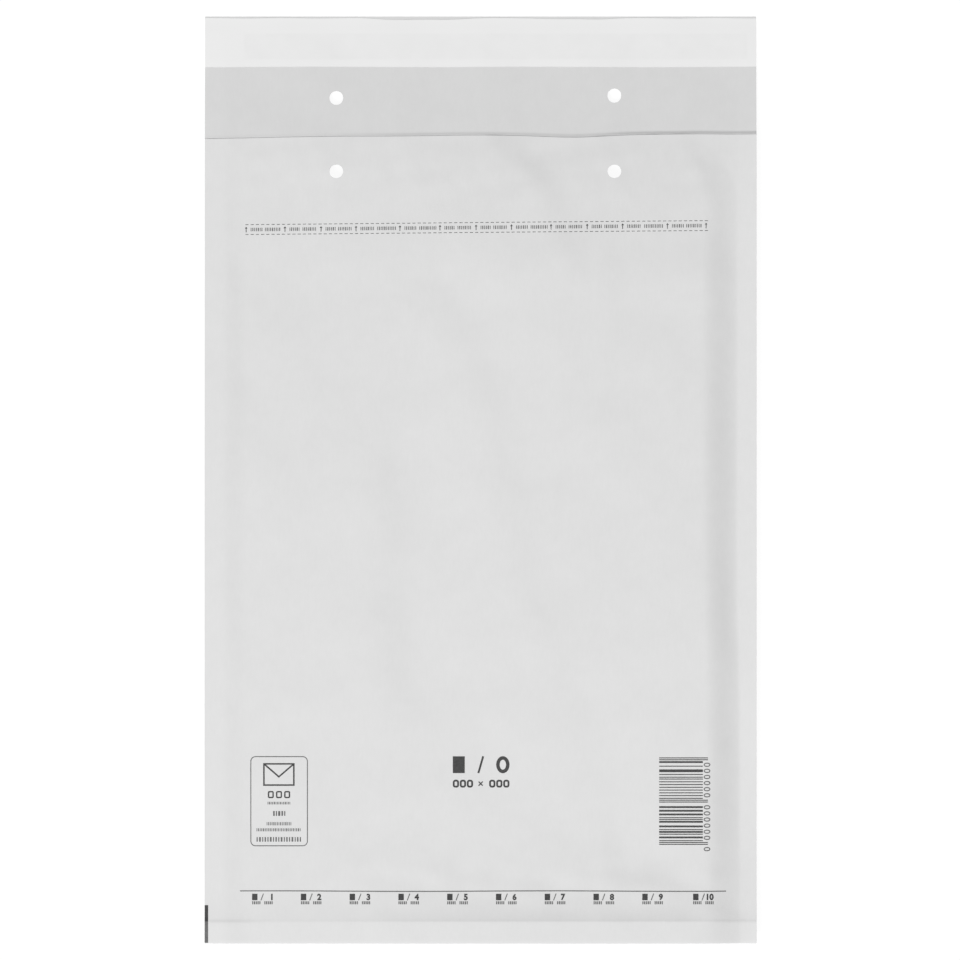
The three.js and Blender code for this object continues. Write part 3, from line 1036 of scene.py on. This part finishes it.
def scale_row():
    """The rule, and for each entry a dark block, a pale slash and pale runs below them."""
    x = np.linspace(RULE_LEFT, RULE_RIGHT, 60)
    y = RULE_Y + 0.12 * np.sin(x / 19)
    dark, pale = [], [stroke(np.stack([x, y], -1), 0.42)]
    for x in ENTRY_PLACES:
        dark.append(bar(x - 4.45, x - 2.1, ENTRY_LOW, ENTRY_HIGH))
        pale.append(stroke([(x - 0.6, -182.7), (x + 0.5, -179.8)], 0.4))
        for side in (-4.4, 0.9):
            pale += blocks(x + side, x + side + 3.7, -184.4, -183.1, (0.46, 0.54), 0.28)
    return dark, pale


def figures():
    """Every plain number in the print, laid on the paper as one piece: one to ten along the scale
    row, and noughts beside the bar pattern, turned to read upwards."""
    points, faces, inks, start = [], [], [], 0

    def lay(x, y, triangles, ink):
        """Adds one number's triangles at these places, in the ink with this index."""
        nonlocal start
        inks.extend([ink] * len(triangles))
        points.append(np.stack([x, y, front_outer(x, y) + INK_LIFT + 0.01], -1))
        faces.append(triangles + start)
        start += len(x)

    for entry, place in enumerate(ENTRY_PLACES):
        flat, triangles = numeral(str(entry + 1), NUMBER_HEIGHT, 0.045)
        lay(flat[:, 0] + place + 4.5 - flat[:, 0].max(), flat[:, 1] + ENTRY_LOW, triangles, 0)
    nought, triangles = numeral("0", NOUGHT_HEIGHT, 0.004)
    for low, count in NOUGHT_GROUPS:
        for row in range(count):
            turned_x = BARS_RIGHT + 3.25 - nought[:, 1]
            lay(turned_x, low + row * NOUGHT_PITCH + nought[:, 0], triangles, 1)
    made = piece("figures", np.concatenate(points), np.concatenate(faces), [dark_ink, pale_ink])
    made.data.polygons.foreach_set("material_index", inks)
    return made


def register_bar():
    """The bar at the left edge, dark above the bottom crease and pale in the band below it."""
    left, right = -HALF_WIDTH + 0.03, -HALF_WIDTH + 1.55
    above = bar(left, right, BOTTOM_CREASE, -184.8, 0.8)
    return [above], [bar(left, right, BOTTOM + 0.35, BOTTOM_CREASE, 0.8)]


def print_pieces():
    """Every printed mark, as one piece for each mark and ink."""
    made = [figures()]
    for name, mark in (
        ("tear_guide", tear_guide), ("framed_sign", framed_sign), ("size_mark", size_mark),
        ("bar_pattern", bar_pattern), ("scale_row", scale_row), ("register_bar", register_bar),
    ):
        dark, pale = mark()
        if dark:
            made.append(draped(name + "_dark", dark, dark_ink))
        if pale:
            made.append(draped(name + "_pale", pale, pale_ink))
    return made


# Putting the envelope together

paper = paper_sheet()
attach(paper, "root")
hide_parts("outer_paper")

film = bubble_film()
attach(film, "root")
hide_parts("bubble_liner")

bead = adhesive()
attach(bead, "root")
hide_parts("adhesive_strip")

liner = release_liner()
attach(liner, "root")
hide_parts("release_liner")

for mark in print_pieces():
    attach(mark, "root")


# The setting: a white floor that keeps a soft shadow, daylight from all round, and a large soft
# lamp from the lower left


def white_floor():
    """A pale floor. Looked at straight, in a reflection or through film it is near white, less its
    shadow, and it sends back plain light to all else."""
    reach = 3.0
    corners = [(-reach, -reach, 0), (reach, -reach, 0), (reach, reach, 0), (-reach, reach, 0)]
    made = bpy.data.materials.new("floor")
    made.use_nodes = True
    tree = made.node_tree
    tree.nodes.clear()
    rays = tree.nodes.new("ShaderNodeLightPath")
    glow = tree.nodes.new("ShaderNodeEmission")
    glow.inputs["Color"].default_value = (1, 1, 1, 1)
    glow.inputs["Strength"].default_value = 0.94
    shade = tree.nodes.new("ShaderNodeBsdfDiffuse")
    shade.inputs["Color"].default_value = (0.1, 0.1, 0.1, 1)
    seen = tree.nodes.new("ShaderNodeAddShader")
    bounce = tree.nodes.new("ShaderNodeBsdfDiffuse")
    bounce.inputs["Color"].default_value = (0.75, 0.75, 0.75, 1)
    choose = tree.nodes.new("ShaderNodeMixShader")
    output = tree.nodes.new("ShaderNodeOutputMaterial")
    straight, mirrored, through = (
        rays.outputs[ray] for ray in ("Is Camera Ray", "Is Glossy Ray", "Is Transmission Ray")
    )
    looked_at = combined(tree, "MAXIMUM", straight, mirrored)
    looked_at = combined(tree, "MAXIMUM", looked_at, through)
    tree.links.new(glow.outputs[0], seen.inputs[0])
    tree.links.new(shade.outputs[0], seen.inputs[1])
    tree.links.new(looked_at, choose.inputs[0])
    tree.links.new(bounce.outputs[0], choose.inputs[1])
    tree.links.new(seen.outputs[0], choose.inputs[2])
    tree.links.new(choose.outputs[0], output.inputs["Surface"])
    floor = piece("floor", np.array(corners) / MM, [[0, 1, 2, 3]], [made], smooth=False)


def soft_lamp(name, place, energy, size):
    """A square area lamp aimed at the middle of the envelope."""
    light = bpy.data.lights.new(name, "AREA")
    light.energy = energy
    light.size = size
    lamp = bpy.data.objects.new(name, light)
    lamp.location = place
    lamp.rotation_euler = (-lamp.location).to_track_quat("-Z", "Y").to_euler()
    bpy.context.scene.collection.objects.link(lamp)


def surroundings(strength):
    """Even white light from all round, and plain white where the camera sees it."""
    world = bpy.data.worlds.new("daylight")
    world.use_nodes = True
    tree = world.node_tree
    back = tree.nodes["Background"]
    back.inputs["Color"].default_value = (1, 1, 1, 1)
    rays = tree.nodes.new("ShaderNodeLightPath")
    level = tree.nodes.new("ShaderNodeMapRange")
    level.inputs["To Min"].default_value = strength
    level.inputs["To Max"].default_value = 1.0
    tree.links.new(rays.outputs["Is Camera Ray"], level.inputs["Value"])
    tree.links.new(level.outputs[0], back.inputs["Strength"])
    bpy.context.scene.world = world


white_floor()
surroundings(strength=0.42)
soft_lamp("key", place=(-2.6, -4.2, 6.6), energy=503, size=3.6)

# The camera looks straight down. These are metres.
FRAME_WIDTH = 0.4175  # width of the view at the paper's height
PAPER_HEIGHT = 0.006
CAMERA_HEIGHT = 4.0
CAMERA_X = -0.00028
lens = bpy.data.cameras.new("camera")
lens.sensor_width = 36
lens.lens = lens.sensor_width * (CAMERA_HEIGHT - PAPER_HEIGHT) / FRAME_WIDTH
camera = bpy.data.objects.new("camera", lens)
camera.location = (CAMERA_X, 0, CAMERA_HEIGHT)
bpy.context.scene.collection.objects.link(camera)
bpy.context.scene.camera = camera
bpy.context.scene.view_settings.view_transform = "Standard"
